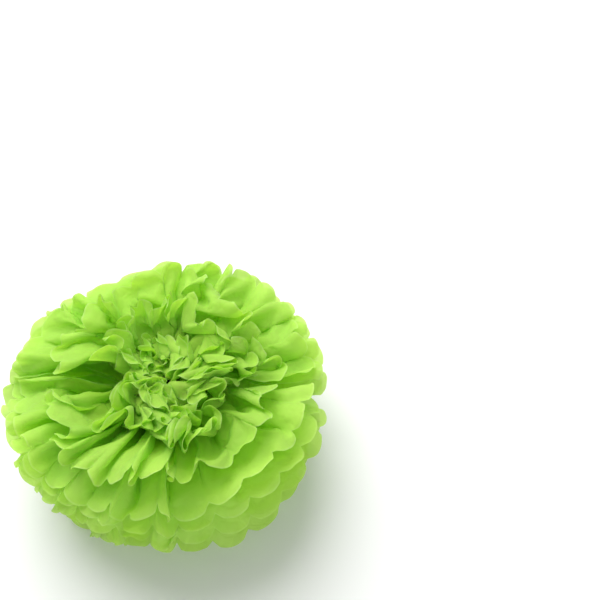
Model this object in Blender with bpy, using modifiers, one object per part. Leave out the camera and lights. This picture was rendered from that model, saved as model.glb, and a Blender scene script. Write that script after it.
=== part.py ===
"""Tissue paper pom pom, standing on its lower petals.

Ten sheets of tissue are stacked, folded together into pleats, tied round the middle with
one wire and cut round at both ends.  Each sheet is then pulled away from its neighbours,
so its two wings of pleats fan out at their own angle.  The strip runs along Y, the wire
goes round it in the XZ plane, and the two wings of a sheet meet along X.
"""

import math

import bmesh
import bpy
import numpy as np

# The cut and folded paper, in metres.
STRIP_LENGTH = 0.300  # from the tips of one wing to the tips of the other
PLEAT_WIDTH = 0.0294  # between two fold lines
PLEATS = 17  # in each wing
SCALLOP_DEPTH = 0.0105  # from the fold line's end to the round tip
PAPER = 0.0005  # stands for one thickness of tissue

# How the sheets are pulled apart, top one first, in degrees over the table: where the wing
# leaves the stack, where it stands, and at its tips, with the share of it that is straight.
WINGS = (
    (69.0, 90.0, 60.0, 0.50),
    (57.0, 80.0, 36.0, 0.46),
    (48.0, 70.0, 14.0, 0.41),
    (42.0, 58.0, -1.0, 0.33),
    (35.0, 45.0, -5.0, 0.25),
    (27.0, 31.0, -9.0, 0.20),
    (12.0, 12.0, -13.0, 0.15),
    (-8.0, -8.0, -21.0, 0.00),
    (-36.0, -36.0, -30.0, 0.00),
    (-80.0, -80.0, -3.0, 0.10),
)
STANDS_FROM = 0.25  # the share of its length where a wing has reached its standing angle
HANGING = 2  # the lowest sheets bend down, all others bend up round the ones over them
ANGLE_SCATTER = 5.0  # each fold line strays up to this far from its sheet's angle

# How the ball settles: the crown is pressed in and the wings dip towards the slit.
CROWN_PRESS = 0.45  # share of its height that the middle of the crown keeps
DOME_PRESS = 0.70  # the same for the rest of the upper half
CROWN_WIDTH = 0.050
LEAN = (0.24, -0.62)  # far over the wire, the crown leans by this share of its height
LEAN_HEIGHT = 0.060  # the lean sets in over about this height
SEAM_DIP = 0.30
SEAM_WIDTH = 0.045
RUMPLE = 0.0032  # each of the slow waves moves the paper sideways by up to this
RUMPLE_WAVES = 9
RUMPLE_SHORTEST = 0.11  # a wave's length
RUMPLE_LONGEST = 0.18
FIRM_RADIUS = 0.012  # nothing moves this close to the wire
LOOSE_RADIUS = 0.060  # and everything moves freely from here out
TABLE_PRESS = 0.016  # paper below this height is pressed towards the table
TABLE_TOUCH = 0.0055  # the lowest sheet lies flat wherever it comes this low

# How unevenly the pleats open, as shares.
SPREAD_SCATTER = 0.45  # of a pleat's share of the half circle
SWAY = 0.30  # of a pleat, sideways at the tips
TIP_CURL = 0.005  # a tip bends up or down by up to this
STEEPEST_PLEAT = 4.1  # rise over run of a pleat's wall
KEEP_OFF_AXIS = 0.7  # the innermost folds stop at this share of the way to the axis

# The gathered middle and its wire.
HUB_RADIUS = 0.008
STACK_GAP = 0.0004  # between two sheets inside the wire
WIRE = 0.001
WIRE_CLEARANCE = 0.0004
TWIST_LENGTH = 0.012
TWIST_TURNS = 2.5
SLIT_OPENING = 0.005  # half the gap between a sheet's two wings at the tips
BEND_START = 0.0006  # past the hub, for the sheets that bend away first

TIE_HEIGHT = 0.088  # of the stack's middle over the table
SEED = 16

ROWS = (0.0, 0.22, 0.60, 1.0)  # from the bend to the ends of the fold lines
TIP_PLACES = (0.17, 0.5, 0.83)  # across a pleat, for the points of its round end
PROFILE_STEPS = 120
LIME = (0.28, 0.66, 0.045, 1.0)
STEEL = (0.55, 0.56, 0.57, 1.0)

SHEETS = len(WINGS)
REACH = STRIP_LENGTH / 2
NOTCH = REACH - SCALLOP_DEPTH
STACK_PITCH = PAPER + STACK_GAP
STACK_HEIGHT = SHEETS * STACK_PITCH - STACK_GAP
WIRE_CENTRE = HUB_RADIUS + WIRE_CLEARANCE + WIRE / 2
SLIT_AT_HUB = WIRE * 1.1 + WIRE_CLEARANCE


def scatter():
    """The random part of the shape, the same on each run."""
    rng = np.random.default_rng(SEED)
    angles = rng.uniform(-1, 1, (SHEETS, 2, PLEATS + 1))
    angles = (angles + np.roll(angles, 1, axis=2)) / 2
    waves = []
    for _ in range(RUMPLE_WAVES):
        along = rng.normal(size=3)
        along /= np.linalg.norm(along)
        sideways = np.cross(along, rng.normal(size=3))
        sideways /= np.linalg.norm(sideways)
        length = rng.uniform(RUMPLE_SHORTEST, RUMPLE_LONGEST)
        phase = rng.uniform(0, 2 * math.pi)
        waves.append((along * 2 * math.pi / length, sideways * RUMPLE, phase))
    return {
        "waves": waves,
        "spread": 1 + SPREAD_SCATTER * rng.uniform(-1, 1, (2, PLEATS)),
        "angle": np.radians(ANGLE_SCATTER) * angles,
        "sway": SWAY * rng.uniform(-1, 1, (2, PLEATS + 1)),
        "curl": TIP_CURL * rng.uniform(-1, 1, (SHEETS, 2, PLEATS)),
    }


def hub_height(sheet):
    """Underside of a sheet inside the wire.  Sheet 0 is the top one."""
    return TIE_HEIGHT + STACK_HEIGHT / 2 - PAPER - sheet * STACK_PITCH


def bend_start(sheet):
    """Where a sheet leaves the stack.  The inner ones bend round the outer ones."""
    layers = sheet if sheet < SHEETS - HANGING else SHEETS - 1 - sheet
    return HUB_RADIUS + BEND_START + layers * STACK_PITCH


def profile(sheet, strays, distances):
    """Radius, height and slope of each fold line at distances from the middle of the strip.

    strays holds each fold line's own angle off the sheet's.  The sheet is level up to its
    bend, then turns to its standing angle, and curls outwards evenly up to the tips.
    """
    first, stands, last, straight = WINGS[sheet]
    bend = bend_start(sheet)
    along = np.linspace(HUB_RADIUS, REACH, PROFILE_STEPS)
    share = (along[:, None] - bend) / (REACH - bend)
    rising = np.clip(share / STANDS_FROM, 0, 1)
    curl = np.maximum(share - straight, 0) / (1 - straight)
    slopes = np.radians(first + (stands - first) * rising + (last - stands) * curl)
    slopes = np.where(share < 0, 0.0, slopes + strays[None, :] * share)
    middle = (slopes[1:] + slopes[:-1]) / 2
    step = along[1] - along[0]
    start = np.zeros((1, len(strays)))
    radius = HUB_RADIUS + np.vstack([start, np.cumsum(np.cos(middle), axis=0)]) * step
    height = hub_height(sheet) + np.vstack([start, np.cumsum(np.sin(middle), axis=0)]) * step
    return [
        np.stack([np.interp(distances, along, a[:, j]) for j in range(len(strays))], axis=1)
        for a in (radius, height, slopes)
    ]


def ease(value):
    """From 0 to 1, level at both ends."""
    value = np.clip(value, 0, 1)
    return value * value * (3 - 2 * value)


def settle(points, waves):
    """Move points of the ball as it settles.  Sheets that don't cross still don't after it.

    Heights over the wire are pressed down, most in the middle of the crown and along the
    slit, and the crown leans to one side.  Each slow wave then shifts the paper square to its
    own direction, and last the lowest petals are pressed towards the table.
    """
    points = np.array(points, float)
    shape = points.shape
    points = points.reshape(-1, 3)
    height = points[:, 2] - TIE_HEIGHT
    radius = np.hypot(points[:, 0], points[:, 1])
    loose = ease((np.hypot(radius, height) - FIRM_RADIUS) / (LOOSE_RADIUS - FIRM_RADIUS))
    keep = DOME_PRESS - (DOME_PRESS - CROWN_PRESS) * np.exp(-((radius / CROWN_WIDTH) ** 2))
    seam = np.exp(-((points[:, 1] / SEAM_WIDTH) ** 2)) * np.minimum(np.abs(points[:, 0]) / REACH, 1)
    keep = keep * (1 - SEAM_DIP * seam)
    upper = height > 0
    height = np.where(upper, height * (1 - (1 - keep) * loose), height)
    points[:, 2] = TIE_HEIGHT + height
    over = np.maximum(height, 0)
    points[:, :2] += (over * over / (over + LEAN_HEIGHT))[:, None] * LEAN
    for along, sideways, phase in waves:
        points = points + (loose * np.sin(points @ along + phase))[:, None] * sideways
    low = points[:, 2] < TABLE_PRESS
    pressed = TABLE_PRESS * np.exp(points[:, 2] / TABLE_PRESS - 1)
    points[:, 2] = np.where(low, pressed, points[:, 2])
    return points.reshape(shape)


def fold_azimuth(wing, radius, random):
    """Where each fold line is round the ball, at the given radius.  All sheets share it."""
    spread = random["spread"][wing] / random["spread"][wing].sum()
    place = np.concatenate([[0], np.cumsum(spread)])
    sway = random["sway"][wing] / PLEATS
    sway[0] = sway[-1] = 0
    out = radius / REACH
    slit = SLIT_AT_HUB + (SLIT_OPENING - SLIT_AT_HUB) * out
    first = np.arcsin(np.minimum(slit / radius, 0.9))
    return first + (math.pi - 2 * first) * (place + sway * out) + math.pi * wing


def fold_lines(sheet, wing, distances, random):
    """Points along every fold line of one wing, as an array [distance, fold line, xyz].

    Round the half circle a pleat takes its share of the length, and what is left of its
    width goes into depth, so fold lines alternate above and below the wing's mean surface.
    """
    distances = np.asarray(distances, float)
    radius, height, slope = profile(sheet, random["angle"][sheet, wing], distances)
    bend = bend_start(sheet)
    out = (np.maximum(distances - bend, 0) / (REACH - bend))[:, None]
    azimuth = fold_azimuth(wing, radius, random)
    chord = np.diff(azimuth, axis=1) * (radius[:, 1:] + radius[:, :-1]) / 2
    depth = np.sqrt(np.maximum(PLEAT_WIDTH**2 - chord**2, 0))
    depth = np.minimum(depth, STEEPEST_PLEAT * chord)
    ends = np.concatenate([depth[:, :1], depth, depth[:, -1:]], axis=1)
    rise = (ends[:, 1:] + ends[:, :-1]) / 4
    rise = np.minimum(rise, KEEP_OFF_AXIS * radius / (np.abs(np.sin(slope)) + 0.05))
    rise = rise * np.minimum(out / (ROWS[1] * (NOTCH - bend) / (REACH - bend)), 1)
    side = np.where(np.arange(PLEATS + 1) % 2, -1, 1)[None, :]
    across = radius - side * rise * np.sin(slope)
    up = height + side * rise * np.cos(slope)
    turn = fold_azimuth(wing, across, random)
    return np.stack([across * np.cos(turn), across * np.sin(turn), up], axis=2)


def round_tips(sheet, wing, random):
    """The points of each pleat's round end, as an array [pleat, point, xyz]."""
    places = np.asarray(TIP_PLACES)
    reach = NOTCH + SCALLOP_DEPTH * np.sqrt(1 - (2 * places - 1) ** 2)
    lines = fold_lines(sheet, wing, reach, random)
    left, right = lines[:, :-1], lines[:, 1:]
    share = places[:, None, None]
    tips = (left * (1 - share) + right * share).transpose(1, 0, 2)
    bend = np.sin(math.pi * places)[None, :] * random["curl"][sheet, wing][:, None]
    tips[:, :, 2] += bend
    return tips


def sheet_surface(sheet, random):
    """Underside of one sheet: points and faces of the hub and both wings."""
    bend = bend_start(sheet)
    rows = [HUB_RADIUS] + [bend + (NOTCH - bend) * share for share in ROWS]
    points, faces, hub = [], [], []
    across = PLEATS + 1
    for wing in (0, 1):
        grid = settle(fold_lines(sheet, wing, rows, random), random["waves"])
        tips = settle(round_tips(sheet, wing, random), random["waves"])
        start = len(points)
        points += [tuple(p) for p in grid.reshape(-1, 3)]
        first_tip = len(points)
        points += [tuple(p) for p in tips.reshape(-1, 3)]
        hub += [start + j for j in range(across)]
        for row in range(len(rows) - 1):
            for j in range(PLEATS):
                a = start + row * across + j
                b = a + across
                if j % 2:
                    faces += [(a, b, a + 1), (a + 1, b, b + 1)]
                else:
                    faces += [(a, b, b + 1), (a, b + 1, a + 1)]
        for j in range(PLEATS):
            end = start + (len(rows) - 1) * across + j
            tip = first_tip + j * len(TIP_PLACES)
            ring = [end, *range(tip, tip + len(TIP_PLACES)), end + 1]
            top = ring[2]
            faces += [(ring[0], ring[1], top), (top, ring[3], ring[4]), (ring[0], top, ring[4])]
    faces.append(tuple(hub))
    return np.array(points), faces


def tissue_material():
    material = bpy.data.materials.new("lime_tissue")
    material.use_nodes = True
    shader = material.node_tree.nodes["Principled BSDF"]
    shader.inputs["Base Color"].default_value = LIME
    shader.inputs["Roughness"].default_value = 0.85
    shader.inputs["Metallic"].default_value = 0.0
    return material


def wire_material():
    material = bpy.data.materials.new("tie_steel")
    material.use_nodes = True
    shader = material.node_tree.nodes["Principled BSDF"]
    shader.inputs["Base Color"].default_value = STEEL
    shader.inputs["Roughness"].default_value = 0.4
    shader.inputs["Metallic"].default_value = 1.0
    return material


def make_sheet(name, points, faces, material, collection, parent):
    """A sheet as an open surface, thickened upwards."""
    mesh = bpy.data.meshes.new(name)
    mesh.from_pydata([tuple(p) for p in points], [], faces)
    work = bmesh.new()
    work.from_mesh(mesh)
    bmesh.ops.triangulate(work, faces=work.faces, quad_method="SHORT_EDGE")
    bmesh.ops.recalc_face_normals(work, faces=work.faces)
    if sum(face.normal.z * face.calc_area() for face in work.faces) < 0:
        bmesh.ops.reverse_faces(work, faces=work.faces)
    work.to_mesh(mesh)
    work.free()
    mesh.materials.append(material)
    sheet = bpy.data.objects.new(name, mesh)
    collection.objects.link(sheet)
    sheet.parent = parent
    thickness = sheet.modifiers.new("paper_thickness", "SOLIDIFY")
    thickness.thickness = PAPER
    thickness.offset = 1
    return sheet


def wire_route():
    """The wire's path: in along the twist, once round the stack, and out along the twist."""
    half_height = STACK_HEIGHT / 2 + WIRE_CLEARANCE + WIRE / 2
    corner = WIRE
    turns = []
    for centre_x, centre_z, first in (
        (WIRE_CENTRE - corner, half_height - corner, 0),
        (-WIRE_CENTRE + corner, half_height - corner, 90),
        (-WIRE_CENTRE + corner, -half_height + corner, 180),
        (WIRE_CENTRE - corner, -half_height + corner, 270),
    ):
        for degrees in (0, 45, 90):
            a = math.radians(first + degrees)
            turns.append(
                (centre_x + corner * math.cos(a), 0.0, centre_z + corner * math.sin(a))
            )
    apart = WIRE * 0.58
    steps = 11
    legs = []
    for side in (1, -1):
        leg = []
        for i in range(steps):
            share = i / (steps - 1)
            phase = math.pi / 2 * side + 2 * math.pi * TWIST_TURNS * share
            x = WIRE_CENTRE + WIRE + TWIST_LENGTH * share
            leg.append((x, apart * math.cos(phase), apart * math.sin(phase)))
        legs.append(leg)
    return legs[0][::-1] + turns + legs[1]


def make_wire(material, collection, parent):
    curve = bpy.data.curves.new("tie_wire", "CURVE")
    curve.dimensions = "3D"
    curve.bevel_depth = WIRE / 2
    curve.bevel_resolution = 1
    curve.use_fill_caps = True
    route = wire_route()
    spline = curve.splines.new("POLY")
    spline.points.add(len(route) - 1)
    for point, place in zip(spline.points, route):
        point.co = (*place, 1.0)
    curve.materials.append(material)
    wire = bpy.data.objects.new("tie_wire", curve)
    collection.objects.link(wire)
    wire.parent = parent
    wire.location = (0, 0, TIE_HEIGHT)
    return wire


def build():
    for old in list(bpy.data.objects):
        bpy.data.objects.remove(old)
    collection = bpy.data.collections.new("tissue_paper_pom_pom")
    bpy.context.scene.collection.children.link(collection)
    centre = bpy.data.objects.new("pom_pom_centre", None)
    collection.objects.link(centre)
    random = scatter()
    surfaces = [sheet_surface(sheet, random) for sheet in range(SHEETS)]
    lowest = surfaces[-1][0]
    lowest[:, 2] = np.where(lowest[:, 2] < TABLE_TOUCH, 0.0, lowest[:, 2])
    everything = np.concatenate([points for points, _ in surfaces])
    middle = (everything.min(axis=0) + everything.max(axis=0)) / 2
    centre.location = (-middle[0], -middle[1], 0)
    tissue = tissue_material()
    for sheet, (points, faces) in enumerate(surfaces):
        make_sheet(f"sheet_{sheet + 1:02d}", points, faces, tissue, collection, centre)
    make_wire(wire_material(), collection, centre)


build()
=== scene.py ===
import math

import bpy
import numpy as np
from mathutils import Matrix, Vector


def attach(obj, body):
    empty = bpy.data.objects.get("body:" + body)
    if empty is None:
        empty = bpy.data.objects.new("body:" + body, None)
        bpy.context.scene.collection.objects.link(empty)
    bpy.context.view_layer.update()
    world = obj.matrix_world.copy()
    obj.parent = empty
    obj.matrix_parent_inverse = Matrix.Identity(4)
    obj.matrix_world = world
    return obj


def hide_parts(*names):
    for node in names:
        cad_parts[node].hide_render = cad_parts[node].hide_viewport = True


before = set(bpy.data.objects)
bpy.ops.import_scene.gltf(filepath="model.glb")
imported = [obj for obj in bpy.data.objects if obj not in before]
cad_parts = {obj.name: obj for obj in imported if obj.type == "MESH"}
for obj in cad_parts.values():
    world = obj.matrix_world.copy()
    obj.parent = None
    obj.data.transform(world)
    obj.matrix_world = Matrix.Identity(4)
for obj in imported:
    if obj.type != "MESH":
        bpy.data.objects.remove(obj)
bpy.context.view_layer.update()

# The table, the light and the camera.
# A pale table under a white sky, a large soft lamp above and behind the pom pom and a weak one
# in front.  The camera looks down from about 58 degrees, with the ball left of the middle.
AZIMUTH = 18.0
ELEVATION = 58.0
DISTANCE = 0.79
LENS = 50.0
SENSOR = 36.0
PICTURE = 600
LANDS_AT = (167.0, 389.0)  # where the ball's middle shows, in pixels


def aim(middle, azimuth, elevation, distance, lens, lands_at):
    """A level camera's matrix that shows the point middle at the pixel lands_at.

    The camera stands distance away from middle, at the azimuth and elevation.  In camera
    space the pixel's ray is v = (right, up, -focal length); the tilt t about X solves
    y sin t + z cos t = the ray's rise, and the turn about Z then matches the bearing.
    """
    a, e = math.radians(azimuth), math.radians(elevation)
    back = Vector((math.sin(a) * math.cos(e), -math.cos(a) * math.cos(e), math.sin(e)))
    focal = PICTURE * lens / SENSOR
    ray = Vector((lands_at[0] - PICTURE / 2, PICTURE / 2 - lands_at[1], -focal)).normalized()
    long = math.hypot(ray.y, ray.z)
    tilt = math.atan2(ray.y, ray.z) - math.acos(-back.z / long)
    tilt_ray = Matrix.Rotation(tilt, 3, "X") @ ray
    turn = math.atan2(-back.y, -back.x) - math.atan2(tilt_ray.y, tilt_ray.x)
    turned = Matrix.Rotation(turn, 4, "Z") @ Matrix.Rotation(tilt, 4, "X")
    return Matrix.Translation(Vector(middle) + back * distance) @ turned


camera = bpy.data.objects.new("camera", bpy.data.cameras.new("camera"))
camera.data.lens = LENS
camera.data.clip_start = 0.05
bpy.context.scene.collection.objects.link(camera)
bpy.context.scene.camera = camera
camera.matrix_world = aim((0, 0, 0.088), AZIMUTH, ELEVATION, DISTANCE, LENS, LANDS_AT)

table_mesh = bpy.data.meshes.new("table")
table_mesh.from_pydata([(-6, -6, 0), (6, -6, 0), (6, 6, 0), (-6, 6, 0)], [], [(0, 1, 2, 3)])
table = bpy.data.objects.new("table", table_mesh)
bpy.context.scene.collection.objects.link(table)
table_paint = bpy.data.materials.new("table_paint")
table_paint.use_nodes = True
paint = table_paint.node_tree.nodes["Principled BSDF"]
paint.inputs["Base Color"].default_value = (0.93, 0.93, 0.93, 1)
paint.inputs["Roughness"].default_value = 0.9
table_mesh.materials.append(table_paint)

sky = bpy.data.worlds.new("sky")
sky.use_nodes = True
sky.node_tree.nodes["Background"].inputs["Color"].default_value = (1, 1, 1, 1)
sky.node_tree.nodes["Background"].inputs["Strength"].default_value = 0.43
bpy.context.scene.world = sky
bpy.context.scene.view_settings.view_transform = "Standard"


def add_lamp(name, size, power, stands_at, looks_at):
    """A round soft lamp of this width and power in watts."""
    lamp = bpy.data.objects.new(name, bpy.data.lights.new(name, "AREA"))
    lamp.data.shape = "DISK"
    lamp.data.size = size
    lamp.data.energy = power
    lamp.location = stands_at
    toward = Vector(looks_at) - lamp.location
    lamp.rotation_euler = toward.to_track_quat("-Z", "Y").to_euler()
    bpy.context.scene.collection.objects.link(lamp)


add_lamp("lamp", 2.2, 55, (-0.45, 1.0, 1.7), (0, 0, 0.1))
add_lamp("fill", 1.5, 10, (0.5, -1.7, 0.6), (0, 0, 0.05))

# The ten sheets of tissue.
# Each is cut 500 x 300 mm, folded into 17 pleats with the others, tied at its middle and
# cut round at both ends.  Each wing is then pulled away from its neighbours and opened.
STRIP_LENGTH = 0.300
PLEATS = 17
PLEAT_WIDTH = 0.0294
SCALLOP_DEPTH = 0.0105  # from the fold line's end to the round tip
REACH = STRIP_LENGTH / 2
NOTCH = REACH - SCALLOP_DEPTH
HUB_RADIUS = 0.008
HUB_SHIFT = (-0.00096, -0.00238, 0.0)  # where the tied middle is, off the middle of the box
TIE_HEIGHT = 0.088  # of the tied stack's middle over the table
HALF_STACK = 0.0043
STACK_PITCH = 0.0009  # from one sheet to the next inside the wire
PAPER = 0.0005  # stands for one thickness there
BEND_START = 0.0006  # past the hub, for the sheets that bend away first
HANGING = 2  # the lowest sheets bend down, all others bend up round the ones over them
WINGS = np.array([
    (49.5, 95.0, 119.0, 0.50, 0.57),
    (46.0, 92.0, 82.0, 0.46, 0.50),
    (43.0, 82.0, 48.0, 0.40, 0.45),
    (40.0, 69.0, 14.0, 0.31, 0.36),
    (35.0, 45.0, -5.0, 0.25, 0.25),
    (27.0, 31.0, -9.0, 0.25, 0.25),
    (12.0, 12.0, -13.0, 0.25, 0.25),
    (-8.0, -8.0, -21.0, 0.25, 0.25),
    (-36.0, -36.0, -30.0, 0.25, 0.25),
    (-80.0, -80.0, -3.0, 0.25, 0.25),
])  # top first: the angle at the hub, where it stands and at the tips, and where these start
CRUSHED = np.array([0.42, 0.40, 0.34, 0.26, 0.16, 0.08, 0, 0, 0, 0])  # share lost deep in the ball
SHEETS = len(WINGS)

ANGLE_SCATTER = 5.0  # each fold line strays up to this far from its sheet's angle
VALLEY_AT = 5.5  # fold line of the second wing where the crown parts from the sheets below
VALLEY_WIDTH = 2.5  # in pleats, to either side
CROWN_STANDS = [[14], [16], [18]]  # degrees that the top three sheets stand up beside it
VALLEY_SINKS = [[8], [5]]  # degrees that the next two lie down in it
SPREAD_SCATTER = 0.45  # of a pleat's share of the half circle
SWAY = 0.30  # of a pleat, sideways at the tips
RUMPLE = 0.0032  # each of the slow waves moves the paper by up to this
RUFFLE = 0.036  # and each shorter one by this share of its length
PETAL_CURL = 0.011  # a petal's middle bends up or down by up to this
PETAL_TILT = 0.014  # and one side of it stands over the other by up to this

chance = np.random.default_rng(16)


def draw_waves(count, shortest, longest):
    """Random waves: each one's wave vector, the direction it shifts to, length and phase."""
    drawn = []
    for _ in range(count):
        along = chance.normal(size=3)
        along /= np.linalg.norm(along)
        sideways = np.cross(along, chance.normal(size=3))
        sideways /= np.linalg.norm(sideways)
        length = chance.uniform(shortest, longest)
        phase = chance.uniform(0, 2 * math.pi)
        drawn.append((along * 2 * math.pi / length, sideways, length, phase))
    return drawn


stray = chance.uniform(-1, 1, (SHEETS, 2, PLEATS + 1))
stray = np.radians(ANGLE_SCATTER) * (stray + np.roll(stray, 1, axis=2)) / 2
valley = np.exp(-(((np.arange(PLEATS + 1) - VALLEY_AT) / VALLEY_WIDTH) ** 2))
stray[:3, 1] += np.radians(CROWN_STANDS) * valley
stray[3:5, 1] -= np.radians(VALLEY_SINKS) * valley
waves = [(wave, side * RUMPLE, phase) for wave, side, _, phase in draw_waves(9, 0.11, 0.18)]
spread = 1 + SPREAD_SCATTER * chance.uniform(-1, 1, (2, PLEATS))
sway = SWAY * chance.uniform(-1, 1, (2, PLEATS + 1)) / PLEATS
sway[:, [0, -1]] = 0
place = np.concatenate([np.zeros((2, 1)), np.cumsum(spread, axis=1)], axis=1)
place = place / spread.sum(axis=1, keepdims=True)
ruffles = [
    (wave, side * RUFFLE * length, phase)
    for wave, side, length, phase in draw_waves(12, 0.045, 0.10)
]
petal_curl = PETAL_CURL * chance.uniform(-1, 1, (SHEETS, 2, PLEATS))
petal_tilt = PETAL_TILT * chance.uniform(-1, 1, (SHEETS, 2, PLEATS))


def ease(value):
    """From 0 to 1, level at both ends: 3v^2 - 2v^3."""
    value = np.clip(value, 0, 1)
    return value * value * (3 - 2 * value)


def flat_pattern(columns, rows):
    """Across and along of each grid point on the flat wing: arrays [row, column].

    Across counts pleats from 0 to 17, and its columns crowd towards the fold lines.
    Along runs from the wire to the cut end, and the end of a pleat is a little blunter
    than half an ellipse: notch + depth sqrt(1 - (2q - 1)^2)^0.8.
    """
    crowding, bluntness = 0.35, 0.8
    step = np.arange(columns + 1) / columns
    step = step - crowding * np.sin(2 * math.pi * step) / (2 * math.pi)
    across = np.concatenate([(np.arange(PLEATS)[:, None] + step[None, :-1]).ravel(), [PLEATS]])
    part_of = across - np.floor(across)
    round_end = np.sqrt(np.clip(1 - (2 * part_of - 1) ** 2, 0, 1)) ** bluntness
    end = NOTCH + SCALLOP_DEPTH * round_end
    out = np.linspace(0, 1, rows + 1)[:, None]
    return np.broadcast_to(across, (rows + 1, len(across))), HUB_RADIUS + (end - HUB_RADIUS) * out


def blend_columns(values, across):
    """Values given at the fold lines, read at any place across the wing."""
    return np.interp(across, np.arange(PLEATS + 1), values)


SLIT_INSIDE = 0.0015  # half the gap between a sheet's two wings at the axis
SLIT_OPENS = 0.0035  # how much wider it is at the tips
OPEN_FOLD = 0.30  # radians that each wing turns away from the slit at the left, in the crown
OPEN_RADIUS = 0.050
OPEN_WIDTH = 0.028


def turn_at(wing, radius, across):
    """How far round the ball a place across the wing lies, at that radius, in radians.

    The slit's half width is 1.5 mm + 3.5 mm radius / reach.  At its left end the crown has
    an open fold: each wing starts 0.30 exp(-((radius - 50) / 28)^2) radians later there.
    """
    slit = SLIT_INSIDE + SLIT_OPENS * radius / REACH
    first = np.arcsin(np.minimum(slit / radius, 0.9))
    wide = first + OPEN_FOLD * np.exp(-(((radius - OPEN_RADIUS) / OPEN_WIDTH) ** 2))
    share = blend_columns(place[wing], across) + blend_columns(sway[wing], across) * radius / REACH
    start, end = (wide, first) if wing else (first, wide)
    return start + (math.pi - start - end) * share + math.pi * wing


def hang(sheet, wing, across, along):
    """Radius, height and slope of the wing's mean surface.

    The slope goes from its first angle to its standing one and curls to its last angle;
    radius and height are the running sums of its cosine and sine.
    """
    first, stands, last, stands_from, straight = WINGS[sheet]
    layers = sheet if sheet < SHEETS - HANGING else SHEETS - 1 - sheet
    bend = HUB_RADIUS + BEND_START + layers * STACK_PITCH
    steps = np.linspace(HUB_RADIUS, REACH, 160)
    share = ((steps - bend) / (REACH - bend))[:, None]
    curl = np.maximum(share - straight, 0) / (1 - straight)
    own = blend_columns(stray[sheet, wing], across[0])[None, :]
    rising = (stands - first) * np.clip(share / stands_from, 0, 1)
    angle = np.radians(first + rising + (last - stands) * curl) + own * share
    slopes = np.where(share < 0, 0, angle)
    middle = (slopes[1:] + slopes[:-1]) / 2
    step = steps[1] - steps[0]
    nothing = np.zeros((1, slopes.shape[1]))
    radius = HUB_RADIUS + np.concatenate([nothing, np.cumsum(np.cos(middle), axis=0)]) * step
    height = np.concatenate([nothing, np.cumsum(np.sin(middle), axis=0)]) * step
    at = np.clip((along - HUB_RADIUS) / step, 0, len(steps) - 1.001)
    low = at.astype(int)
    mix = at - low

    def read(values):
        beyond = np.take_along_axis(values, low + 1, 0)
        return np.take_along_axis(values, low, 0) * (1 - mix) + beyond * mix

    lift = TIE_HEIGHT + HALF_STACK - PAPER - sheet * STACK_PITCH
    return read(radius), read(height) + lift, read(slopes), (along - bend) / (REACH - bend)


DEEPEST_PLEAT = 9.0  # a pleat's depth over its width
KEEP_OFF_AXIS = 0.75  # the innermost folds stop at this share of the way to the axis
PLEATS_DEEP_AT = 0.15  # share of the wing's length by which the pleats have their full depth
PETALS_FROM = 0.55  # share of it from which each petal curls and tilts in its own way


def folded_wing(sheet, wing, across, along):
    """A wing with its pleats, before the ball settles: points [row, column, xyz].

    What the half circle leaves of each pleat's width goes into its depth, and the paper
    runs that far above and below the mean surface, as six parts zigzag and four parts sine.
    """
    radius, height, slope, out = hang(sheet, wing, across, along)
    share = np.diff(place[wing])
    middle = np.concatenate([share[:1], (share[1:] + share[:-1]) / 2, share[-1:]])
    chord = blend_columns(middle, across) * math.pi * radius
    depth = np.sqrt(np.maximum(PLEAT_WIDTH**2 - chord**2, 0))
    depth = np.minimum(depth, DEEPEST_PLEAT * chord)
    rise = np.minimum(depth / 2, KEEP_OFF_AXIS * radius / (np.abs(np.sin(slope)) + 0.05))
    rise = rise * np.clip(out / PLEATS_DEEP_AT, 0, 1)
    zigzag = 2 * np.abs(np.mod(across, 2) - 1) - 1
    zigzag = 0.6 * zigzag + 0.4 * np.sin(zigzag * math.pi / 2)
    petal = np.minimum(across.astype(int), PLEATS - 1)
    part_of = across - petal
    late = ease((out - PETALS_FROM) / 0.45)
    own = petal_curl[sheet, wing][petal] * np.sin(math.pi * part_of)
    own = own + petal_tilt[sheet, wing][petal] * (part_of - 0.5)
    lift = zigzag * rise + own * late
    radius_at = radius - lift * np.sin(slope)
    up = height + lift * np.cos(slope)
    turn = turn_at(wing, np.maximum(radius_at, 0.002), across)
    return np.stack([radius_at * np.cos(turn), radius_at * np.sin(turn), up], axis=-1)


FIRM_RADIUS = 0.012  # nothing moves this close to the wire
LOOSENS_OVER = 0.048  # and everything moves freely this much further out
DOME_PRESS = 0.70  # share of its height that the upper half keeps
CROWN_GIVES = 0.25  # and how much less of it the crown's middle keeps
CROWN_WIDTH = 0.050
SEAM_DIP = 0.30
SEAM_WIDTH = 0.045
LEAN = (0.36, -0.60)  # far over the wire, the crown leans by this share of its height
LEAN_HEIGHT = 0.060  # the lean sets in over about this height
RUFFLES_GROW = 1.5  # at the crown the ruffles are larger by this share
RUFFLES_GROW_AT = 0.110
RUFFLES_GROW_OVER = 0.050
TABLE_PRESS = 0.016  # paper below this height is pressed towards the table


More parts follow.
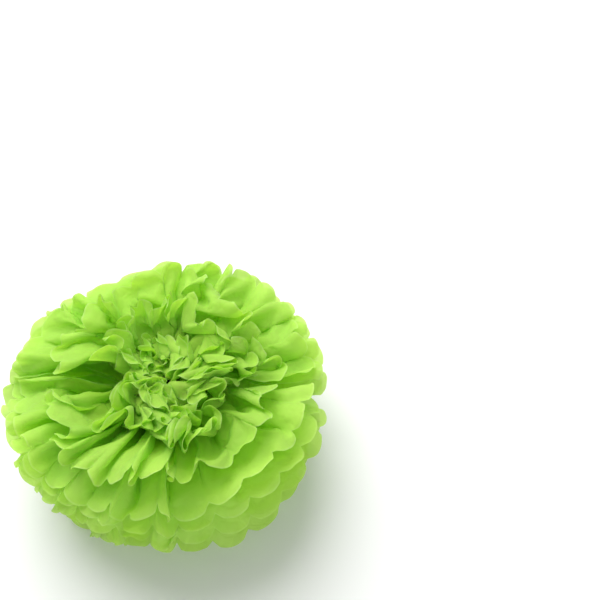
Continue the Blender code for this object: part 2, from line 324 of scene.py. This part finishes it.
def settle(points):
    """Press the crown down, dip the wings towards the slit, sway the paper and rest it.

    Heights over the wire keep 45 to 70 percent, and at height h over it the crown leans by
    h^2 / (h + 60 mm) times its lean.  Each slow wave and each ruffle then shifts points
    square to its own direction, and the ruffles grow from 110 to 160 mm up.  Below 16 mm
    heights follow 16 exp(z / 16 - 1), which never meets the table.
    """
    height = points[..., 2] - TIE_HEIGHT
    radius = np.hypot(points[..., 0], points[..., 1])
    loose = ease((np.hypot(radius, height) - FIRM_RADIUS) / LOOSENS_OVER)
    keep = DOME_PRESS - CROWN_GIVES * np.exp(-((radius / CROWN_WIDTH) ** 2))
    seam = np.exp(-((points[..., 1] / SEAM_WIDTH) ** 2))
    seam = seam * np.minimum(np.abs(points[..., 0]) / REACH, 1)
    keep = keep * (1 - SEAM_DIP * seam)
    pressed = np.where(height > 0, height * (1 - (1 - keep) * loose), height)
    points[..., 2] = TIE_HEIGHT + pressed
    over = np.maximum(points[..., 2] - TIE_HEIGHT, 0)
    points[..., :2] += (over * over / (over + LEAN_HEIGHT))[..., None] * LEAN
    for wave, shift, phase in waves:
        points = points + (loose * np.sin(points @ wave + phase))[..., None] * shift
    grown = ease((points[..., 2] - RUFFLES_GROW_AT) / RUFFLES_GROW_OVER)
    loose = loose * (1 + RUFFLES_GROW * grown)
    for wave, shift, phase in ruffles:
        points = points + (loose * np.sin(points @ wave + phase))[..., None] * shift
    low = points[..., 2] < TABLE_PRESS
    rested = TABLE_PRESS * np.exp(points[..., 2] / TABLE_PRESS - 1)
    points[..., 2] = np.where(low, rested, points[..., 2])
    return points


def crinkles(across, along, shortest, longest):
    """Heights of the small creases in each wing, as [wing, row, column].

    A sum of sharp zigzag waves over the flat sheet in random directions, each bent by a
    slower sine wave across its run.
    """
    count, bent_by, bent_at = 12, 1.3, 2.1
    heading = chance.uniform(0, math.pi, (2 * SHEETS, count))
    length = chance.uniform(shortest, longest, (2 * SHEETS, count))
    phase = chance.uniform(0, 2 * math.pi, (2, 2 * SHEETS, count))
    height = np.zeros((2 * SHEETS, *across.shape))
    for k in range(count):
        c, s = np.cos(heading[:, k, None, None]), np.sin(heading[:, k, None, None])
        run = c * across * PLEAT_WIDTH + s * along
        beside = c * along - s * across * PLEAT_WIDTH
        long = length[:, k, None, None]
        bent = bent_by * np.sin(beside * bent_at / long + phase[1, :, k, None, None])
        sharp = np.arcsin(np.sin(run * 2 * math.pi / long + bent + phase[0, :, k, None, None]))
        height += sharp * long
    return height / count


def normals_of(points):
    """Unit normals of grids [wing, row, column, xyz]: the cross product of both slopes."""
    normal = np.cross(np.gradient(points, axis=2), np.gradient(points, axis=1))
    return normal / np.maximum(np.linalg.norm(normal, axis=-1, keepdims=True), 1e-9)


def crease(points, across, along, share, shortest, longest):
    """Lift the paper along its normals by share times its crinkles, but not at the wire."""
    loose = ease((along - 0.020) / 0.050)
    lift = share * crinkles(across, along, shortest, longest) * loose
    points += normals_of(points) * lift[..., None].astype(points.dtype)


def draw_together(a, b, length, stiffness):
    """Move both ends of each edge so that it comes nearer to its length."""
    gap = b - a
    long = np.sqrt(np.einsum("...i,...i->...", gap, gap)) + 1e-9
    gap *= (stiffness * 0.5 * (1 - length / long))[..., None]
    a += gap
    b -= gap


def push_apart(points, keep, near):
    """Move points of different layers apart where they come nearer than keep.

    Points go into a grid of cells as wide as keep, sorted by cell.  Each point is then
    compared with the first few points of its own cell and of the 13 next ones.  Points of
    one layer count only where they are more than six columns apart.
    """
    cells, compared, own_columns, push_share = 1024, 5, 6, 0.35
    flat = points.reshape(-1, 3)
    cell = np.floor(flat / keep).astype(np.int64) + cells // 2
    key = (cell[:, 0] * cells + cell[:, 1]) * cells + cell[:, 2]
    order = np.argsort(key, kind="stable")
    key, place_of, layer, column = key[order], flat[order], near[0][order], near[1][order]
    move = np.zeros_like(place_of)
    steps = [(1, 1, 1)] + [s for s in np.ndindex(3, 3, 3) if s > (1, 1, 1)]
    for step in steps:
        offset = ((step[0] - 1) * cells + step[1] - 1) * cells + step[2] - 1
        start = np.searchsorted(key, key + offset) if offset else np.arange(len(key)) + 1
        for k in range(compared):
            other = np.minimum(start + k, len(key) - 1)
            mine = np.nonzero(key[other] == key + offset)[0]
            yours = other[mine]
            apart = layer[mine] != layer[yours]
            apart |= np.abs(column[mine] - column[yours]) > own_columns
            mine, yours = mine[apart], yours[apart]
            gap = place_of[yours] - place_of[mine]
            long = np.linalg.norm(gap, axis=1) + 1e-9
            close = (long < keep) & (mine != yours)
            push = gap[close] * (push_share * (1 - keep / long[close]))[:, None]
            for axis in range(3):
                move[:, axis] += np.bincount(mine[close], push[:, axis], len(key))
                move[:, axis] -= np.bincount(yours[close], push[:, axis], len(key))
    flat[order] += move
    points[...] = flat.reshape(points.shape)


COLUMNS = 8  # of the first grid, across each pleat
ROWS = 36  # of the first grid, from the hub to the tips
LAYER_GAP = 0.0035  # points of two layers are pushed this far apart
OVER_TABLE = 0.0006
CEILING = 0.180
STIFF = 0.9  # share of the way to its length that each edge goes in a round
STIFF_SLANTED = 0.4  # the same for the diagonals
STIFF_BENT_ALONG = 0.22  # and for two edges in a row, which keeps the paper from bending
STIFF_BENT_ACROSS = 0.25
MEMORY = 0.0015  # how much of its first shape the paper takes back in every round


def spring_back(points, across, along, columns, rounds, hold):
    """Let the folded paper take its true size again, as [wing, row, column, xyz].

    Each round moves the ends of every edge of the grid towards its length on the flat
    sheet, along, across and diagonally, straightens the paper a little between the folds,
    and keeps it over the table, under the crown's height and off the layers beside it.
    Inside the wire the paper counts for 6 percent of its width, and 30 mm out for all of it.
    The share lost deep in the ball fades out from 45 to 95 mm along the strip.
    """
    start = points.copy()
    gathered = 0.06 + 0.94 * ease((along - HUB_RADIUS) / 0.030)
    crushed = np.repeat(CRUSHED, 2)[:, None, None] * (1 - ease((along - 0.045) / 0.050))
    kept = np.broadcast_to(1 - crushed, (2 * SHEETS, *along.shape))

    def true_length(one, two):
        sideways = (across[one] - across[two]) * PLEAT_WIDTH * (gathered[one] + gathered[two]) / 2
        both_kept = kept[(slice(None), *one)] + kept[(slice(None), *two)]
        lengthways = (along[one] - along[two]) * both_kept / 2
        return np.hypot(sideways, lengthways).astype(np.float32)

    rest, up, far_up = slice(None), slice(1, None), slice(2, None)
    to, far_to = slice(None, -1), slice(None, -2)
    down = true_length((up, rest), (to, rest))
    side = true_length((rest, up), (rest, to))
    left = true_length((up, up), (to, to))
    right = true_length((up, to), (to, up))
    far_down = true_length((far_up, rest), (far_to, rest))
    far_side = true_length((rest, far_up), (rest, far_to))
    inside = (np.arange(1, along.shape[1] - 1) % columns != 0).astype(np.float32)
    every_other = np.arange(0, along.shape[1], 2)
    wing_of, column_of = np.meshgrid(np.arange(2 * SHEETS), every_other, indexing="ij")
    shape = (2 * SHEETS, len(range(0, along.shape[0], 2)), wing_of.shape[1])
    near = [np.broadcast_to(a[:, None, :], shape).ravel() for a in (wing_of, column_of)]
    for n in range(rounds):
        share = n / rounds
        points += (hold * (1 - share) ** 2 + MEMORY) * (start - points)
        for first in (0, 1):
            a, b = points[:, first:-1:2], points[:, first + 1 :: 2]
            draw_together(a, b, down[:, first::2], STIFF)
            a, b = points[:, :, first:-1:2], points[:, :, first + 1 :: 2]
            draw_together(a, b, side[..., first::2], STIFF)
            a, b = points[:, first:-1:2, :-1], points[:, first + 1 :: 2, 1:]
            draw_together(a, b, left[:, first::2], STIFF_SLANTED)
            a, b = points[:, first:-1:2, 1:], points[:, first + 1 :: 2, :-1]
            draw_together(a, b, right[:, first::2], STIFF_SLANTED)
        for first in (0, 1, 2, 3):
            a, b = points[:, first:-2:4], points[:, first + 2 :: 4]
            draw_together(a, b, far_down[:, first::4], STIFF_BENT_ALONG)
            a, b = points[:, :, first:-2:4], points[:, :, first + 2 :: 4]
            draw_together(a, b, far_side[..., first::4], STIFF_BENT_ACROSS * inside[first::4])
        if n % 4 == 2 and columns == COLUMNS:
            some = points[:, ::2, ::2].copy()
            push_apart(some, LAYER_GAP, near)
            points[:, ::2, ::2] = some
        points[..., 2] = np.clip(points[..., 2], OVER_TABLE, CEILING)
        points[:, :2] = start[:, :2]
    return points


def finer(values, fold_every=0):
    """Twice as many columns: each new one on a curve through its four neighbours.

    Halfway between b and c of a, b, c, d that is (9 (b + c) - a - d) / 16.  At a fold
    line, where the curve would run through the fold, it uses three points of its own
    pleat instead: (3 b + 6 c - d) / 8 after the fold and (6 b + 3 c - a) / 8 before it.
    """
    a, b, c, d = (np.roll(values, s, axis=-2)[..., 1:-2, :] for s in (1, 0, -1, -2))
    inner = (9 * (b + c) - a - d) / 16
    after = (3 * b + 6 * c - d) / 8
    before = (6 * b + 3 * c - a) / 8
    at = np.arange(1, values.shape[-2] - 2)
    if fold_every:
        inner = np.where((at % fold_every == 0)[:, None], after, inner)
        inner = np.where((at % fold_every == fold_every - 1)[:, None], before, inner)
    first = (3 * values[..., :1, :] + 6 * values[..., 1:2, :] - values[..., 2:3, :]) / 8
    last = (3 * values[..., -1:, :] + 6 * values[..., -2:-1, :] - values[..., -3:-2, :]) / 8
    new = np.empty((*values.shape[:-2], 2 * values.shape[-2] - 1, values.shape[-1]), values.dtype)
    new[..., ::2, :] = values
    new[..., 1::2, :] = np.concatenate([first, inner, last], axis=-2)
    return new


across, along = flat_pattern(COLUMNS, ROWS)
wings = np.stack([
    settle(folded_wing(sheet, wing, across, along)) for sheet in range(SHEETS) for wing in (0, 1)
])
crease(wings, across, along, 0.30, 0.020, 0.050)
wings = wings.astype(np.float32)
wings = spring_back(wings, across, along, COLUMNS, 180, 0.02)

wings = finer(wings, COLUMNS)
wings = finer(wings.swapaxes(1, 2)).swapaxes(1, 2)
pattern = finer(np.stack([across * PLEAT_WIDTH, along], axis=-1), COLUMNS)
pattern = finer(pattern.swapaxes(0, 1)).swapaxes(0, 1)
across, along = pattern[..., 0] / PLEAT_WIDTH, pattern[..., 1]
crease(wings, across, along, 0.16, 0.006, 0.020)
wings = spring_back(wings, across, along, 2 * COLUMNS, 16, 0.01)


def new_material(name):
    """An empty node material, with two short functions that add and join its nodes."""
    material = bpy.data.materials.new(name)
    material.use_nodes = True
    tree = material.node_tree
    tree.nodes.clear()

    def node(kind, **values):
        made = tree.nodes.new("ShaderNode" + kind)
        for key, value in values.items():
            if isinstance(getattr(made, key, None), str):
                setattr(made, key, value)
            else:
                made.inputs[key.replace("_", " ")].default_value = value
        return made

    def join(output, target):
        tree.links.new(output, target)

    return material, node, join


# The tissue's look.
# Thin dyed paper that lets light through, with fine fibres, small soft creases all over and
# colour that drifts a little.  Its tips and cut edges are painted paler: painted light, for the
# glow of light through single layers and a painted highlight along the edges.
tissue, node, join = new_material("tissue_paper")
flat_place = node("UVMap", uv_map="flat_sheet")
cloud = node("TexNoise", Scale=22.0, Detail=2.0, Roughness=0.6)
fibre = node("TexNoise", Scale=1400.0, Detail=1.0, Roughness=0.7)
warp = node("TexNoise", Scale=60.0, Detail=1.0)
join(flat_place.outputs["UV"], cloud.inputs["Vector"])
join(flat_place.outputs["UV"], fibre.inputs["Vector"])
join(flat_place.outputs["UV"], warp.inputs["Vector"])
bend = node("MixRGB")
bend.inputs[0].default_value = 0.012
join(flat_place.outputs["UV"], bend.inputs[1])
join(warp.outputs["Color"], bend.inputs[2])
cell = node("TexVoronoi", feature="DISTANCE_TO_EDGE", Scale=110.0)
join(bend.outputs[0], cell.inputs["Vector"])
line = node("MapRange", interpolation_type="SMOOTHSTEP")
line.inputs["From Max"].default_value = 0.22
join(cell.outputs["Distance"], line.inputs["Value"])
fine = node("Bump", Strength=0.25, Distance=0.00012)
join(fibre.outputs["Fac"], fine.inputs["Height"])
large = node("Bump", Strength=0.40, Distance=0.0006)
join(line.outputs["Result"], large.inputs["Height"])
join(fine.outputs["Normal"], large.inputs["Normal"])
# Painted light: this attribute paints the cut edges and tips paler, as if lit through the single
# layer.
cut = node("Attribute", attribute_name="painted_edge_light")


def tint(plain, deep, edge):
    """A colour that drifts from plain to deep over the sheet and turns to edge, a painted pale lit
    colour, at the cut edges and tips.
    """
    drift = node("MixRGB")
    drift.inputs[1].default_value = (*plain, 1)
    drift.inputs[2].default_value = (*deep, 1)
    join(cloud.outputs["Fac"], drift.inputs[0])
    paler = node("MixRGB")
    join(cut.outputs["Fac"], paler.inputs[0])
    join(drift.outputs[0], paler.inputs[1])
    paler.inputs[2].default_value = (*edge, 1)
    return paler.outputs[0]


# The third colour of each tint is painted light: the pale, lit look of thin edges and tips.
front = node("BsdfPrincipled", Roughness=0.72, Specular_IOR_Level=0.22)
front.inputs["Sheen Weight"].default_value = 0.16
front.inputs["Sheen Roughness"].default_value = 0.5
join(tint((0.55, 0.85, 0.10), (0.45, 0.78, 0.04), (0.70, 0.91, 0.36)), front.inputs["Base Color"])
join(large.outputs["Normal"], front.inputs["Normal"])
through = node("BsdfTranslucent")
join(tint((0.51, 0.84, 0.02), (0.41, 0.77, 0.006), (0.67, 0.92, 0.18)), through.inputs["Color"])
both = node("MixShader")
both.inputs[0].default_value = 0.42
join(front.outputs[0], both.inputs[1])
join(through.outputs[0], both.inputs[2])
sheer = node("BsdfTransparent", Color=(0.86, 1.0, 0.45, 1))
thin = node("MixShader")
thin.inputs[0].default_value = 0.16
join(both.outputs[0], thin.inputs[1])
join(sheer.outputs[0], thin.inputs[2])
join(thin.outputs[0], node("OutputMaterial").inputs["Surface"])
tissue.use_transparent_shadow = False

# The sheets' surfaces.
# Each sheet is one piece of paper: its two wings meet in the folded strip inside the wire.
# The flat sheet is its map, so the paper's pattern follows every fold.
PAINTED_TIP_LIGHT = (0.13, 0.15, 0.20, 0.26, 0.30, 0.36, 0.42, 0.48, 0.55, 0.62)  # painted light near the tips, top first: more on the lower sheets, as if lit from the table
PAINTED_TIP_EDGE_LIGHT = 0.7  # how much painted light the cut edge at the tips gets, from 0 to 1
PAINTED_SIDE_EDGE_LIGHT = 0.6
SIDES_FROM_ROW = 10  # the wings' side edges come out of the gathered middle here
rows, columns = wings.shape[1:3]
corner = (np.arange(rows - 1)[:, None] * columns + np.arange(columns - 1)[None, :]).ravel()
wing_faces = np.stack([corner, corner + columns, corner + columns + 1, corner + 1], axis=1)
edge = np.arange(columns - 1)
opposite = rows * columns + columns - 1 - edge
middle_faces = np.stack([edge, edge + 1, opposite - 1, opposite], axis=1)
faces = np.concatenate([wing_faces, wing_faces + rows * columns, middle_faces])
flat_uv = np.concatenate([pattern.reshape(-1, 2), pattern.reshape(-1, 2) * (1, -1)])
# Painted light: the cut edges at the tips and sides, and a band near the tips, are painted paler,
# more on the lower sheets, for light through single layers and off the table.
painted_edge_light = np.zeros((2, rows, columns), np.float32)
painted_edge_light[:, -1] = PAINTED_TIP_EDGE_LIGHT
painted_edge_light[:, SIDES_FROM_ROW:, [0, -1]] = PAINTED_SIDE_EDGE_LIGHT
tip_light_ramp = ease((along - 0.085) / 0.062)
for sheet in range(SHEETS):
    points = wings[2 * sheet : 2 * sheet + 2].reshape(-1, 3) + HUB_SHIFT
    mesh = bpy.data.meshes.new(f"tissue_{sheet + 1:02d}")
    mesh.from_pydata(points, [], faces)
    uv = mesh.uv_layers.new(name="flat_sheet")
    uv.data.foreach_set("uv", flat_uv[faces.ravel()].ravel())
    paler = np.maximum(painted_edge_light, PAINTED_TIP_LIGHT[sheet] * tip_light_ramp).ravel()
    mesh.attributes.new("painted_edge_light", "FLOAT", "POINT").data.foreach_set("value", paler)
    mesh.shade_smooth()
    mesh.materials.append(tissue)
    paper = bpy.data.objects.new(f"tissue_{sheet + 1:02d}", mesh)
    bpy.context.scene.collection.objects.link(paper)
    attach(paper, "root")
    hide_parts(f"sheet_{sheet + 1:02d}")

# The wire.
# One turn of thin steel wire round the middle of the folded strip, its ends twisted together.
# It is drawn wire, so it is smooth and dull grey, with fine darker spots.
wire, node, join = new_material("drawn_steel")
steel_place = node("TexCoord")
grain = node("TexNoise", Scale=900.0, Detail=2.0, Roughness=0.6)
join(steel_place.outputs["Object"], grain.inputs["Vector"])
steel = node("BsdfPrincipled", Metallic=1.0)
shade = node("MixRGB")
shade.inputs[1].default_value = (0.62, 0.63, 0.64, 1)
shade.inputs[2].default_value = (0.36, 0.36, 0.37, 1)
join(grain.outputs["Fac"], shade.inputs[0])
join(shade.outputs[0], steel.inputs["Base Color"])
dull = node("MapRange")
dull.inputs["To Min"].default_value = 0.25
dull.inputs["To Max"].default_value = 0.50
join(grain.outputs["Fac"], dull.inputs["Value"])
join(dull.outputs["Result"], steel.inputs["Roughness"])
pits = node("Bump", Strength=0.3, Distance=0.00005)
join(grain.outputs["Fac"], pits.inputs["Height"])
join(pits.outputs["Normal"], steel.inputs["Normal"])
join(steel.outputs[0], node("OutputMaterial").inputs["Surface"])
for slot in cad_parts["tie_wire"].material_slots:
    slot.material = wire
